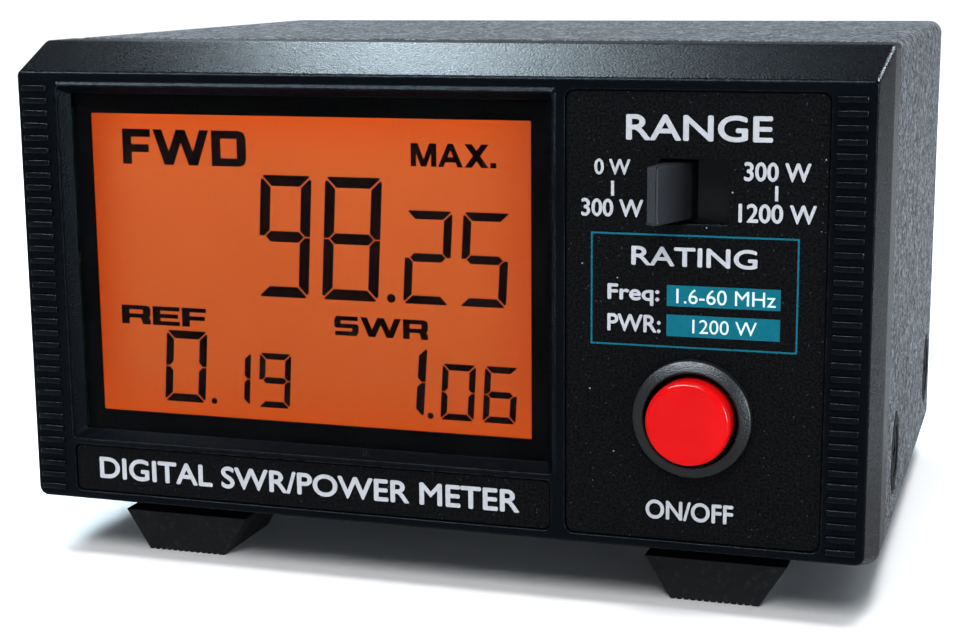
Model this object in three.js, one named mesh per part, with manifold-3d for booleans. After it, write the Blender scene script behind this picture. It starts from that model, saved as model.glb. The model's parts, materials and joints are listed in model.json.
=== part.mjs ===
// A desktop SWR and power meter for amateur radio: a moulded front bezel with a backlit display, a range
// slide switch and a power push button, on a folded steel case with two coax sockets and a DC jack behind.
// Millimetres, +Z up, the front faces -Y. Inside `meter`, y = 0 is the front face and z = 0 the table.
import * as THREE from "three";
import { mergeVertices } from "three/addons/utils/BufferGeometryUtils.js";
import Module from "manifold-3d";

const wasm = await Module();
wasm.setup();

// ---------------------------------------------------------------- driving dimensions
const GAP = 0.3; // clearance kept between pieces that touch
const SHEET = 1.2; // steel sheet of the case
const FOOT_HEIGHT = 5.8;

// Outline of the bezel, at its front face and behind its chamfer; `low` is the radius of its lower corners.
const FACE = { x0: -59, x1: 59, z0: 9, z1: 69.95, r: 0.85, low: 1.25 };
const RIM = { x0: -60, x1: 60, z0: 6.1, z1: 73.85, r: 1.1, low: 1.9 };
const CHAMFER_DEPTH = 9.7;
const BEZEL_DEPTH = 17;
const PLATE = 2.6; // thickness of the bezel's front wall
const WALL = 2.4; // thickness of its side walls

// Case behind the bezel; `hem` is the lower edge of the cover's sides.
const CASE = { x: 59.6, z0: 6.3, z1: 73.95, r: 2, hem: 5.8, y0: BEZEL_DEPTH + GAP, y1: 99 };
const CHASSIS_X = CASE.x - SHEET - GAP;
const REAR_FACE = CASE.y1 - 0.5; // the rear panel stands in half a millimetre

// Display: bevelled opening in the bezel, the part of the display that is lit, and the depths of the stack.
const OPENING = { x0: -52.7, x1: 18.2, z0: 18, z1: 68, r: 0.5 };
const BEVEL = 1.1;
const BEVEL_DEPTH = 1.8;
const LIT = { x: -17.45, z: 42.9, w: 64, h: 42.5 };
const WINDOW_Y = 1.95;
const WINDOW_THICK = 0.8;

// Recesses of the front face that hold the printed overlays.
const CONTROLS = { x0: 19.9, x1: 53.4, z0: 10.1, z1: 68.5, r: 1.2 };
const NAME_STRIP = { x0: -52.8, x1: 17.9, z0: 10.1, z1: 17, r: 0.9 };
const RECESS = 0.7;

// Grip ribs at both sides of the front face.
const RIBS = { count: 34, pitch: 1.733, first: 10.1, height: 0.85, proud: 0.45, length: 3.85 };
const RIB_STARTS = [-58.25, 54.05];

// Range switch and power button.
const SLOT = { x0: 32, x1: 41, z0: 51.65, z1: 59.95, r: 0.5 };
const LEVER = { tip: [31.65, 33.05], base: [32.85, 36.7], height: 7.4, proud: 5 };
const SLIDER = { w: 12, h: 9, y0: 3.4, y1: 4.9 };
const BUTTON = { x: 36.8, z: 26.75, collar: 7.7, barrel: 6.8, bore: 6.1, cap: 5.5, proud: 3.8 };

// Bosses inside the bezel: for the screws of the chassis, of the display board and of the front feet.
const BOSS = { x: 54.9, rows: { lower: 12.6, upper: 67.4 }, radius: 2.4, pilot: 1.2 };
const BOARD = { y: 9.2, thick: 1.6, bosses: { left: -54.9, right: 20.6 }, radius: 2.1 };
const FOOT_BOSS = { radius: 2.9, top: 15 };

// Rear panel.
const SOCKETS = [
  { side: "transmitter", x: -30 },
  { side: "antenna", x: 10 },
];
const SOCKET = { z: 40, flange: 25.4, pitch: 18.3, barrel: 7.95, bore: 6.45, length: 12.4 };
const JACK = { x: 44, z: 24, barrel: 3.9, bore: 3, pin: 1.05 };
const SCREW_HOLE = 1.7; // radius of the clearance holes for M3 screws

// Coupler can on the inner side of the rear panel.
const CAN = { x0: -48, x1: 28, z0: 22, z1: 58, y0: 70, y1: REAR_FACE - SHEET - GAP, wall: 1 };
const LINE_Y = 85;

// Feet, and the screws at the sides of the case.
const FOOT = { x: 38.9, tip: 11.9, top: 19.2, length: 15.4, teeth: 13, tooth: 0.4 };
const FOOT_ROWS = { front: 6.4, rear: 79 };
const SIDE_SCREW = { z: 15.2, radius: 5.9, rows: { front: 34.3, rear: 91.2 } };

const REAR_END = REAR_FACE + GAP + SOCKET.length;
const MIDDLE = (REAR_END - LEVER.proud) / 2; // half way between the lever's tip and the sockets' ends

// ---------------------------------------------------------------- materials
function finish(color, roughness, metalness = 0) {
  return new THREE.MeshStandardMaterial({ color, roughness, metalness });
}
const plastic = finish(0x17181c, 0.5);
const overlay = finish(0x121316, 0.6);
const paint = finish(0x6e7278, 0.55, 0.3);
const steel = finish(0xb9bcc0, 0.35, 0.9);
const nickel = finish(0xc8c9c6, 0.25, 1);
const brass = finish(0xc9a04a, 0.3, 1);
const clear = finish(0xd8dde0, 0.08);
const amber = finish(0xd9622b, 0.5);
const diffuser = finish(0xf2efe6, 0.5);
const board = finish(0x1f5a38, 0.5);
const red = finish(0xd0151b, 0.25);
const rubber = finish(0x0d0d0f, 0.8);
const black = finish(0x0b0b0d, 0.45);
const ferrite = finish(0x3b3d42, 0.6);
const white = finish(0xe9e6dc, 0.5);
const wire = finish(0x8d9095, 0.6);

// ---------------------------------------------------------------- geometry helpers
function solid(geometry) {
  const bare = geometry.clone();
  bare.deleteAttribute("normal");
  bare.deleteAttribute("uv");
  const merged = mergeVertices(bare);
  const index = Array.from(merged.index.array);
  const triangles = [];
  for (let i = 0; i < index.length; i += 3) {
    const [a, b, c] = index.slice(i, i + 3);
    if (a !== b && b !== c && c !== a) triangles.push(a, b, c);
  }
  const vertProperties = merged.attributes.position.array;
  return new wasm.Manifold(
    new wasm.Mesh({ numProp: 3, vertProperties, triVerts: new Uint32Array(triangles) }),
  );
}

function geometryOf(manifold) {
  const mesh = manifold.getMesh();
  const geometry = new THREE.BufferGeometry();
  geometry.setAttribute("position", new THREE.BufferAttribute(mesh.vertProperties, 3));
  geometry.setIndex(new THREE.BufferAttribute(mesh.triVerts, 1));
  geometry.computeVertexNormals();
  return geometry;
}

function join(...geometries) {
  return geometryOf(geometries.map(solid).reduce((a, b) => a.add(b)));
}

function cut(geometry, ...tools) {
  return geometryOf(tools.map(solid).reduce((a, b) => a.subtract(b), solid(geometry)));
}

function block(x0, x1, y0, y1, z0, z1) {
  const geometry = new THREE.BoxGeometry(x1 - x0, y1 - y0, z1 - z0);
  return geometry.translate((x0 + x1) / 2, (y0 + y1) / 2, (z0 + z1) / 2);
}

// Solid of revolution about a line along "x", "y" or "z" through a point; the profile holds
// [radius, place along the line] pairs.
function turned(axis, [x, y, z], profile, sides = 20) {
  const points = profile.map(([radius, along]) => new THREE.Vector2(radius, along));
  const geometry = new THREE.LatheGeometry(points, sides);
  if (axis === "x") geometry.rotateZ(-Math.PI / 2);
  if (axis === "z") geometry.rotateX(Math.PI / 2);
  return geometry.translate(x, y, z);
}

function rod(axis, centre, radius, from, to, sides = 20) {
  const profile = [
    [0, from],
    [radius, from],
    [radius, to],
    [0, to],
  ];
  return turned(axis, centre, profile, sides);
}

function ring(axis, centre, inner, outer, from, to, sides = 20) {
  const profile = [
    [inner, from],
    [outer, from],
    [outer, to],
    [inner, to],
    [inner, from],
  ];
  return turned(axis, centre, profile, sides);
}

// A shape drawn in x and z, extruded from y0 to y1.
function prism(shape, y0, y1) {
  const geometry = new THREE.ExtrudeGeometry(shape, {
    depth: y1 - y0,
    bevelEnabled: false,
    curveSegments: 4,
  });
  return geometry.rotateX(Math.PI / 2).translate(0, y1, 0);
}

function grow(rect, by, r = rect.r, low = r) {
  return { x0: rect.x0 - by, x1: rect.x1 + by, z0: rect.z0 - by, z1: rect.z1 + by, r, low };
}

// Corner points of a rounded rectangle, counter-clockwise as seen from the front.
function outline({ x0, x1, z0, z1, r, low = r }, steps = 4) {
  const corners = [
    [x1 - low, z0 + low, low, -90],
    [x1 - r, z1 - r, r, 0],
    [x0 + r, z1 - r, r, 90],
    [x0 + low, z0 + low, low, 180],
  ];
  return corners.flatMap(([cx, cz, radius, start]) =>
    Array.from({ length: steps + 1 }, (_, i) => {
      const angle = THREE.MathUtils.degToRad(start + (90 * i) / steps);
      return [cx + radius * Math.cos(angle), cz + radius * Math.sin(angle)];
    }),
  );
}

// A closed body through rounded rectangles, each given as [y, rectangle], front to back.
function loft(...sections) {
  const rings = sections.map(([y, rect]) => outline(rect).map(([x, z]) => [x, y, z]));
  const count = rings[0].length;
  const index = [];
  for (let s = 0; s + 1 < rings.length; s++) {
    for (let i = 0; i < count; i++) {
      const a = s * count + i;
      const b = s * count + ((i + 1) % count);
      index.push(a, a + count, b, b, a + count, b + count);
    }
  }
  const last = (rings.length - 1) * count;
  for (let i = 1; i + 1 < count; i++) {
    index.push(0, i, i + 1);
    index.push(last, last + i + 1, last + i);
  }
  const geometry = new THREE.BufferGeometry();
  geometry.setAttribute("position", new THREE.Float32BufferAttribute(rings.flat(2), 3));
  geometry.setIndex(index);
  return geometry;
}

const meter = new THREE.Group();

function add(name, geometry, material) {
  const mesh = new THREE.Mesh(geometry, material);
  mesh.name = name;
  meter.add(mesh);
}

// Cross recess of a screw head whose face is at `face` and looks towards -1 or +1 along the axis.
function crossRecess(axis, [x, y, z], face, look, size) {
  const half = size / 2;
  const blade = 0.4;
  const ends = [face - look * size * 0.4, face + look].sort((a, b) => a - b);
  const slot = (u, v) => {
    if (axis === "x") return block(...ends, y - u, y + u, z - v, z + v);
    if (axis === "y") return block(x - u, x + u, ...ends, z - v, z + v);
    return block(x - u, x + u, y - v, y + v, ...ends);
  };
  return [slot(half, blade), slot(blade, half)];
}

// Pan head screw whose shank runs from `tip` to the underside of its head.
function panScrew(axis, centre, { head, shank, tip, seat, thick }) {
  const look = Math.sign(seat - tip);
  const face = seat + look * thick;
  const profile = [
    [0, tip],
    [shank, tip],
    [shank, seat],
    [head, seat],
    [head, seat + look * thick * 0.45],
    [head * 0.72, face],
    [0, face],
  ];
  const body = turned(axis, centre, look > 0 ? profile : profile.reverse(), 10);
  return cut(body, ...crossRecess(axis, centre, face, look, head * 1.1));
}

// ---------------------------------------------------------------- front bezel
const footMiddle = FOOT.length / 2;

function bezelGeometry() {
  const inner = (by) => grow(RIM, -by, 1.2);
  const shell = cut(
    loft([0.35, FACE], [CHAMFER_DEPTH, RIM], [BEZEL_DEPTH, RIM]),
    loft(
      [PLATE, grow(FACE, -WALL, 1)],
      [CHAMFER_DEPTH, inner(WALL)],
      [BEZEL_DEPTH + 1, inner(WALL)],
    ),
  );
  const extras = [
    loft([0, grow(FACE, -0.3, FACE.r, FACE.low)], [0.36, FACE], [1, FACE]),
    loft([-0.35, grow(OPENING, 0.25)], [0.1, grow(OPENING, 0.7)], [1, grow(OPENING, 0.7)]),
  ];
  for (const x of [-BOSS.x, BOSS.x]) {
    for (const z of Object.values(BOSS.rows)) {
      extras.push(rod("y", [x, 0, z], BOSS.radius, PLATE - 1, BEZEL_DEPTH - 0.1, 12));
    }
  }
  for (const x of Object.values(BOARD.bosses)) {
    extras.push(rod("y", [x, 0, LIT.z], BOARD.radius, PLATE - 1, BOARD.y - GAP, 10));
  }
  for (const x of [-FOOT.x, FOOT.x]) {
    const centre = [x, FOOT_ROWS.front + footMiddle, 0];
    extras.push(rod("z", centre, FOOT_BOSS.radius, RIM.z0 + 0.5, FOOT_BOSS.top, 12));
  }
  for (const x of RIB_STARTS) {
    for (let i = 0; i < RIBS.count; i++) {
      const z = RIBS.first + i * RIBS.pitch;
      extras.push(block(x, x + RIBS.length, -RIBS.proud, 0.5, z, z + RIBS.height));
    }
  }
  const opening = grow(OPENING, -BEVEL, 0.3);
  const tools = [
    loft([-0.5, grow(OPENING, 0.05)], [0, OPENING], [BEVEL_DEPTH, opening], [PLATE + 1, opening]),
    loft([BEVEL_DEPTH, grow(OPENING, 0.2)], [PLATE + 1, grow(OPENING, 0.2)]),
    loft([-1, CONTROLS], [RECESS, CONTROLS]),
    loft([-1, NAME_STRIP], [RECESS, NAME_STRIP]),
    loft([-1, SLOT], [PLATE + 1, SLOT]),
    rod("y", [BUTTON.x, 0, BUTTON.z], BUTTON.barrel + GAP, -1, PLATE + 1),
  ];
  for (const x of [-BOSS.x, BOSS.x]) {
    for (const z of Object.values(BOSS.rows)) {
      tools.push(rod("y", [x, 0, z], BOSS.pilot, 7, BEZEL_DEPTH + 1, 8));
    }
  }
  for (const x of Object.values(BOARD.bosses)) {
    tools.push(rod("y", [x, 0, LIT.z], BOSS.pilot, 4.5, BOARD.y + 1, 8));
  }
  for (const x of [-FOOT.x, FOOT.x]) {
    const centre = [x, FOOT_ROWS.front + footMiddle, 0];
    tools.push(rod("z", centre, SCREW_HOLE, 0, FOOT_BOSS.top - 1.5, 8));
  }
  return cut(join(shell, ...extras), ...tools);
}
add("front_bezel", bezelGeometry(), plastic);

const overlayFront = 0.3;
const overlayBack = RECESS - 0.1;
const controlSheet = grow(CONTROLS, -0.15);
const nameSheet = grow(NAME_STRIP, -0.15);
add(
  "control_overlay",
  cut(
    loft([overlayFront, controlSheet], [overlayBack, controlSheet]),
    loft([-1, SLOT], [2, SLOT]),
    rod("y", [BUTTON.x, 0, BUTTON.z], BUTTON.barrel + GAP, -1, 2),
  ),
  overlay,
);
add("name_overlay", loft([overlayFront, nameSheet], [overlayBack, nameSheet]), overlay);

// ---------------------------------------------------------------- display stack
const windowBack = WINDOW_Y + WINDOW_THICK;
add("display_window", loft([WINDOW_Y, OPENING], [windowBack, OPENING]), clear);

const lit = {
  x0: LIT.x - LIT.w / 2,
  x1: LIT.x + LIT.w / 2,
  z0: LIT.z - LIT.h / 2,
  z1: LIT.z + LIT.h / 2,
  r: 0.2,
};
const frameY0 = windowBack + 0.2;
const panelY0 = frameY0 + 0.6;
const panelY1 = panelY0 + 2;
const backlightY0 = panelY1 + 0.2;
const backlightY1 = backlightY0 + 2.8;
const displayOutline = { x0: -52, x1: 17.1, z0: 18.4, z1: 67.4, r: 0.6 };
const panelOutline = grow(lit, 1.3);
const pocket = grow(panelOutline, GAP);
add(
  "display_frame",
  cut(
    loft([frameY0, displayOutline], [BOARD.y - GAP, displayOutline]),
    loft([0, lit], [frameY0 + 1, lit]),
    loft([frameY0 + 0.4, pocket], [BOARD.y, pocket]),
  ),
  black,
);
add("display_panel", loft([panelY0, panelOutline], [panelY1, panelOutline]), amber);
add("backlight_panel", loft([backlightY0, panelOutline], [backlightY1, panelOutline]), diffuser);

// The display board carries a processor and the harness connector on its back.
const boardBack = BOARD.y + BOARD.thick;
const connectorBack = boardBack + 3;
add(
  "display_board",
  cut(
    join(
      block(-56.8, 22.6, BOARD.y, boardBack, 17.2, 64.2),
      block(-24, -12, boardBack - 0.5, boardBack + 1.4, 40, 52),
      block(-44, -30, boardBack - 0.5, connectorBack, 22, 28),
    ),
    ...Object.values(BOARD.bosses).map((x) =>
      rod("y", [x, 0, LIT.z], BOSS.pilot, 0, boardBack + 1, 8),
    ),
  ),
  board,
);
for (const [side, x] of Object.entries(BOARD.bosses)) {
  const shape = { head: 2.1, shank: 0.9, tip: 5, seat: boardBack + 0.1, thick: 1.4 };
  add(`display_board_screw_${side}`, panScrew("y", [x, 0, LIT.z], shape), steel);
}

// ---------------------------------------------------------------- range switch
const leverMiddle = (LEVER.base[0] + LEVER.base[1]) / 2;
const sliderX0 = leverMiddle - SLIDER.w / 2;
const switchY0 = PLATE + GAP;
const leverTravel = 4;
const slotZ = (SLOT.z0 + SLOT.z1) / 2;

// The lever leans to the left and narrows to its tip, so its right side is a long slope.
function leverGeometry() {
  const [z0, z1] = [slotZ - LEVER.height / 2, slotZ + LEVER.height / 2];
  const tip = { x0: LEVER.tip[0], x1: LEVER.tip[1], z0: z0 + 0.05, z1: z1 - 0.05, r: 0.2 };
  const base = { x0: LEVER.base[0], x1: LEVER.base[1], z0, z1, r: 0.3 };
  return join(
    loft([-LEVER.proud, grow(tip, -0.15, 0.1)], [0.15 - LEVER.proud, tip], [SLIDER.y0 + 0.5, base]),
    block(
      sliderX0,
      sliderX0 + SLIDER.w,
      SLIDER.y0,
      SLIDER.y1,
      slotZ - SLIDER.h / 2,
      slotZ + SLIDER.h / 2,
    ),
  );
}
add("range_switch_lever", leverGeometry(), plastic);

// Switch frame with two solder lugs behind; the slider runs in its cavity.
const cavity = { x0: sliderX0 - GAP, x1: sliderX0 + SLIDER.w + leverTravel + GAP };
const switchBack = 11.5;
const lugBack = 14.5;
add(
  "range_switch_body",
  cut(
    join(
      block(cavity.x0 - 2, cavity.x1 + 2, switchY0, switchBack, slotZ - 6, slotZ + 6),
      block(cavity.x0 + 1, cavity.x0 + 2, switchBack - 0.5, lugBack, slotZ - 4, slotZ + 4),
      block(cavity.x1 - 2, cavity.x1 - 1, switchBack - 0.5, lugBack, slotZ - 4, slotZ + 4),
    ),
    block(
      cavity.x0,
      cavity.x1,
      0,
      SLIDER.y1 + GAP,
      slotZ - SLIDER.h / 2 - GAP,
      slotZ + SLIDER.h / 2 + GAP,
    ),
  ),
  steel,
);

// ---------------------------------------------------------------- power button
const buttonAxis = [BUTTON.x, 0, BUTTON.z];
const collarBack = 7;
const collarSeat = overlayFront - 0.1;
add(
  "power_button_collar",
  turned(
    "y",
    buttonAxis,
    [
      [BUTTON.bore, -1.5],
      [BUTTON.bore + 0.75, -1.5],
      [BUTTON.collar - 0.35, -0.95],
      [BUTTON.collar, -0.5],
      [BUTTON.collar, collarSeat],
      [BUTTON.barrel, collarSeat],
      [BUTTON.barrel, collarBack],
      [BUTTON.bore, collarBack],
      [BUTTON.bore, -1.5],
    ],
    32,
  ),
  black,
);
add(
  "power_button_cap",
  turned(
    "y",
    buttonAxis,
    [
      [0, -BUTTON.proud],
      [BUTTON.cap - 1.2, 0.08 - BUTTON.proud],
      [BUTTON.cap - 0.4, 0.35 - BUTTON.proud],
      [BUTTON.cap, 1 - BUTTON.proud],
      [BUTTON.cap, 3],
      [2.4, 3],
      [2.4, 9.5],
      [0, 9.5],
    ],
    32,
  ),
  red,
);
const hexagon = (radius, centre) => {
  const shape = new THREE.Shape();
  for (let i = 0; i < 6; i++) {
    const angle = (i * Math.PI) / 3;
    const point = [centre[0] + radius * Math.cos(angle), centre[1] + radius * Math.sin(angle)];
    if (i === 0) shape.moveTo(...point);
    else shape.lineTo(...point);
  }
  shape.closePath();
  return shape;
};
add(
  "power_button_nut",
  cut(
    prism(hexagon(9.6, [BUTTON.x, BUTTON.z]), PLATE + GAP, PLATE + GAP + 2.4),
    rod("y", buttonAxis, BUTTON.barrel + GAP, 0, 10),
  ),
  steel,
);
const switchHalf = 7;
const powerSwitchY0 = collarBack + GAP;
const powerSwitchY1 = 24;
add(
  "power_switch_body",
  cut(
    join(
      block(
        BUTTON.x - switchHalf,
        BUTTON.x + switchHalf,
        powerSwitchY0,
        powerSwitchY1,
        BUTTON.z - switchHalf,
        BUTTON.z + switchHalf,
      ),
      ...[-4, 0, 4].map((dx) => {
        const [x, z] = [BUTTON.x + dx, BUTTON.z];
        return block(x - 0.4, x + 0.4, powerSwitchY1 - 1, powerSwitchY1 + 4, z - 1.2, z + 1.2);
      }),
    ),
    rod("y", buttonAxis, 2.8, 0, 13),
  ),
  black,
);

// ---------------------------------------------------------------- chassis and top cover
const sideRows = Object.entries(SIDE_SCREW.rows);
const rearFootY = FOOT_ROWS.rear + footMiddle;

const flangeCorners = [
  { corner: "lower_left", dx: -SOCKET.pitch / 2, dz: -SOCKET.pitch / 2 },
  { corner: "lower_right", dx: SOCKET.pitch / 2, dz: -SOCKET.pitch / 2 },
  { corner: "upper_left", dx: -SOCKET.pitch / 2, dz: SOCKET.pitch / 2 },
  { corner: "upper_right", dx: SOCKET.pitch / 2, dz: SOCKET.pitch / 2 },
];

function flangeHoles(x, y0, y1) {
  return flangeCorners.map(({ dx, dz }) => rod("y", [x + dx, 0, SOCKET.z + dz], SCREW_HOLE, y0, y1, 8));
}

function socketHoles(y0, y1, radius) {
  return SOCKETS.flatMap(({ x }) => [
    rod("y", [x, 0, SOCKET.z], radius, y0, y1),
    ...flangeHoles(x, y0, y1),
  ]);
}

// Floor, front plate and rear panel folded from one sheet, with four tabs for the side screws.
function chassisGeometry() {
  const x = CHASSIS_X;
  const top = CASE.z1 - SHEET - GAP;
  const floor = CASE.z0 + SHEET;
  const tab = { half: 6.5, top: 22 };
  const frontWindow = { x: 50, z0: 16, z1: 64 };
  const plates = [
    block(-x, x, CASE.y0, REAR_FACE, CASE.z0, floor),
    block(-x, x, CASE.y0, CASE.y0 + SHEET, CASE.z0, top),
    block(-x, x, REAR_FACE - SHEET, REAR_FACE, CASE.z0, top),
  ];
  const holes = [
    block(
      -frontWindow.x,
      frontWindow.x,
      CASE.y0 - 1,
      CASE.y0 + SHEET + 1,
      frontWindow.z0,
      frontWindow.z1,
    ),
    ...socketHoles(REAR_FACE - 3, REAR_FACE + 1, SOCKET.barrel + 0.6),
    rod("y", [JACK.x, 0, JACK.z], JACK.barrel + GAP, REAR_FACE - 3, REAR_FACE + 1),
  ];
  for (const side of [-1, 1]) {
    for (const [, y] of sideRows) {
      const [x0, x1] = side < 0 ? [-x, SHEET - x] : [x - SHEET, x];
      plates.push(block(x0, x1, y - tab.half, Math.min(y + tab.half, REAR_FACE), CASE.z0, tab.top));
      holes.push(rod("x", [0, y, SIDE_SCREW.z], SCREW_HOLE, x0 - 1, x1 + 1, 8));
    }
    holes.push(rod("z", [side * FOOT.x, rearFootY, 0], SCREW_HOLE, 0, floor + 1, 8));
    for (const z of Object.values(BOSS.rows)) {
      holes.push(rod("y", [side * BOSS.x, 0, z], BOSS.pilot, CASE.y0 - 1, CASE.y0 + SHEET + 1, 8));
    }
  }
  return cut(join(...plates), ...holes);
}
add("chassis", chassisGeometry(), steel);

// Top and both sides folded from one sheet.
function coverGeometry() {
  const shape = new THREE.Shape();
  const inner = CASE.x - SHEET;
  const turn = CASE.r - SHEET;
  const bend = [CASE.x - CASE.r, CASE.z1 - CASE.r];
  shape.moveTo(CASE.x, CASE.hem);
  shape.lineTo(CASE.x, bend[1]);
  shape.absarc(bend[0], bend[1], CASE.r, 0, Math.PI / 2, false);
  shape.lineTo(-bend[0], CASE.z1);
  shape.absarc(-bend[0], bend[1], CASE.r, Math.PI / 2, Math.PI, false);
  shape.lineTo(-CASE.x, CASE.hem);
  shape.lineTo(-inner, CASE.hem);
  shape.lineTo(-inner, bend[1]);
  shape.absarc(-bend[0], bend[1], turn, Math.PI, Math.PI / 2, true);
  shape.lineTo(bend[0], bend[1] + turn);
  shape.absarc(bend[0], bend[1], turn, Math.PI / 2, 0, true);
  shape.lineTo(inner, CASE.hem);
  shape.closePath();
  const radius = SIDE_SCREW.radius + GAP;
  const through = CASE.x + 1;
  const holes = sideRows.map(([, y]) => rod("x", [0, y, SIDE_SCREW.z], radius, -through, through));
  return cut(prism(shape, CASE.y0, CASE.y1), ...holes);
}
add("top_cover", coverGeometry(), paint);

// A countersunk screw in a cup washer at each end of both sides.
const SIDES = [
  { sideName: "left", side: -1 },
  { sideName: "right", side: 1 },
];
for (const { sideName, side } of SIDES) {
  for (const [row, y] of sideRows) {
    const centre = [0, y, SIDE_SCREW.z];
    const inward = CHASSIS_X + 0.15;
    const tip = CHASSIS_X - 6.5;
    const face = CASE.x - 0.15;
    const washer = [
      [2.6, inward],
      [SIDE_SCREW.radius, inward],
      [SIDE_SCREW.radius, CASE.x - 0.25],
      [SIDE_SCREW.radius - 0.4, CASE.x],
      [3.9, CASE.x],
      [2.6, inward],
    ];
    const screw = [
      [0, tip],
      [1.4, tip],
      [1.4, inward - 0.2],
      [3.55, face],
      [0, face],
    ];
    const mirrored = (profile) => (side > 0 ? profile : profile.map(([r, d]) => [r, -d]).reverse());
    add(`side_washer_${row}_${sideName}`, turned("x", centre, mirrored(washer)), black);
    add(
      `side_screw_${row}_${sideName}`,
      cut(
        turned("x", centre, mirrored(screw), 12),
        ...crossRecess("x", centre, side * face, side, 3.4),
      ),
      black,
    );
  }
}

for (const { sideName, side } of SIDES) {
  for (const [row, z] of Object.entries(BOSS.rows)) {
    const seat = CASE.y0 + SHEET + 0.15;
    const shape = { head: 2.2, shank: 0.9, tip: 8, seat, thick: 1.5 };
    add(`bezel_screw_${row}_${sideName}`, panScrew("y", [side * BOSS.x, 0, z], shape), steel);
  }
}

// ---------------------------------------------------------------- feet
// Tapered foot with small grooves across its tread and a deep hole for its screw.
function footGeometry(x, y0) {
  const shape = new THREE.Shape();
  const pitch = FOOT.tip / FOOT.teeth;
  shape.moveTo(x - FOOT.top / 2, FOOT_HEIGHT);
  shape.lineTo(x - FOOT.tip / 2, 0);
  for (let i = 0; i < FOOT.teeth; i++) {
    const left = x - FOOT.tip / 2 + i * pitch;
    shape.lineTo(left + pitch * 0.6, 0);
    if (i + 1 < FOOT.teeth) {
      shape.lineTo(left + pitch * 0.8, FOOT.tooth);
      shape.lineTo(left + pitch, 0);
    }
  }
  shape.lineTo(x + FOOT.tip / 2, 0);
  shape.lineTo(x + FOOT.top / 2, FOOT_HEIGHT);
  shape.closePath();
  const centre = [x, y0 + footMiddle, 0];
  return cut(
    prism(shape, y0, y0 + FOOT.length),
    rod("z", centre, SCREW_HOLE, -1, FOOT_HEIGHT + 1, 8),
    rod("z", centre, 3.3, -1, 2.6, 12),
  );
}

for (const [row, y0] of Object.entries(FOOT_ROWS)) {
  for (const { sideName, side } of SIDES) {
    const x = side * FOOT.x;
    const shape = { head: 2.9, shank: 1.35, tip: 12.5, seat: 2.4, thick: 1.6 };
    add(`foot_${row}_${sideName}`, footGeometry(x, y0), rubber);
    add(`foot_screw_${row}_${sideName}`, panScrew("z", [x, y0 + footMiddle, 0], shape), steel);
  }
}

// ---------------------------------------------------------------- coax sockets and coupler
const socketFront = REAR_FACE + GAP;
const flangeBack = socketFront + 2;
const contactInner = 89;
const contactEnd = REAR_END - 1.3;
const insulator = { from: 93, to: 104.4 };
for (const { side, x } of SOCKETS) {
  const centre = [x, 0, SOCKET.z];
  const half = SOCKET.flange / 2;
  add(
    `${side}_socket_shell`,
    cut(
      join(
        block(x - half, x + half, socketFront, flangeBack, SOCKET.z - half, SOCKET.z + half),
        turned(
          "y",
          centre,
          [
            [0, flangeBack - 1],
            [SOCKET.barrel, flangeBack - 1],
            [SOCKET.barrel, REAR_END - 0.6],
            [SOCKET.barrel - 0.6, REAR_END],
            [0, REAR_END],
          ],
          24,
        ),
      ),
      rod("y", centre, SOCKET.bore, socketFront - 1, REAR_END + 1, 24),
      ...flangeHoles(x, socketFront - 1, flangeBack + 1),
    ),
    nickel,
  );
  add(
    `${side}_socket_insulator`,
    turned(
      "y",
      centre,
      [
        [3, insulator.from],
        [SOCKET.bore - 0.2, insulator.from],
        [SOCKET.bore - 0.2, insulator.to - 1],
        [4.6, insulator.to],
        [3, insulator.to],
        [3, insulator.from],
      ],
    ),
    white,
  );
  add(
    `${side}_socket_contact`,
    turned(
      "y",
      centre,
      [
        [0, contactInner],
        [1.6, contactInner],
        [2.75, contactInner + 3],
        [2.75, contactEnd - 0.3],
        [2.45, contactEnd],
        [1.95, contactEnd],
        [1.95, contactEnd - 10],
        [0, contactEnd - 10],
      ],
      16,
    ),
    brass,
  );
  for (const { corner, dx, dz } of flangeCorners) {
    const shape = { head: 2.8, shank: 1.35, tip: 93.5, seat: flangeBack + 0.15, thick: 1.9 };
    add(`${side}_socket_screw_${corner}`, panScrew("y", [x + dx, 0, SOCKET.z + dz], shape), nickel);
  }
}

add(
  "coupler_can",
  cut(
    block(CAN.x0, CAN.x1, CAN.y0, CAN.y1, CAN.z0, CAN.z1),
    block(
      CAN.x0 + CAN.wall,
      CAN.x1 - CAN.wall,
      CAN.y0 - 1,
      CAN.y1 - CAN.wall,
      CAN.z0 + CAN.wall,
      CAN.z1 - CAN.wall,
    ),
    ...socketHoles(CAN.y1 - 2, CAN.y1 + 1, SOCKET.bore + GAP),
  ),
  steel,
);
add("coupler_board", block(CAN.x0, CAN.x1, CAN.y0 - 1.9, CAN.y0 - GAP, CAN.z0, CAN.z1), board);

const [nearX, farX] = SOCKETS.map(({ x }) => x);
add(
  "coupler_line",
  join(
    rod("x", [0, LINE_Y, SOCKET.z], 1.4, nearX - 1.2, farX + 1.2, 12),
    rod("y", [nearX, 0, SOCKET.z], 1.3, LINE_Y, contactInner - GAP, 12),
    rod("y", [farX, 0, SOCKET.z], 1.3, LINE_Y, contactInner - GAP, 12),
  ),
  brass,
);
const lineMiddle = (nearX + farX) / 2;
add(
  "current_transformer",
  join(
    ring("x", [lineMiddle, LINE_Y, SOCKET.z], 3.2, 8.5, -3.5, 3.5),
    ...[-2, 2].map((dx) => rod("y", [lineMiddle + dx, 0, SOCKET.z], 0.6, CAN.y0, LINE_Y - 6, 8)),
  ),
  ferrite,
);

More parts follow.
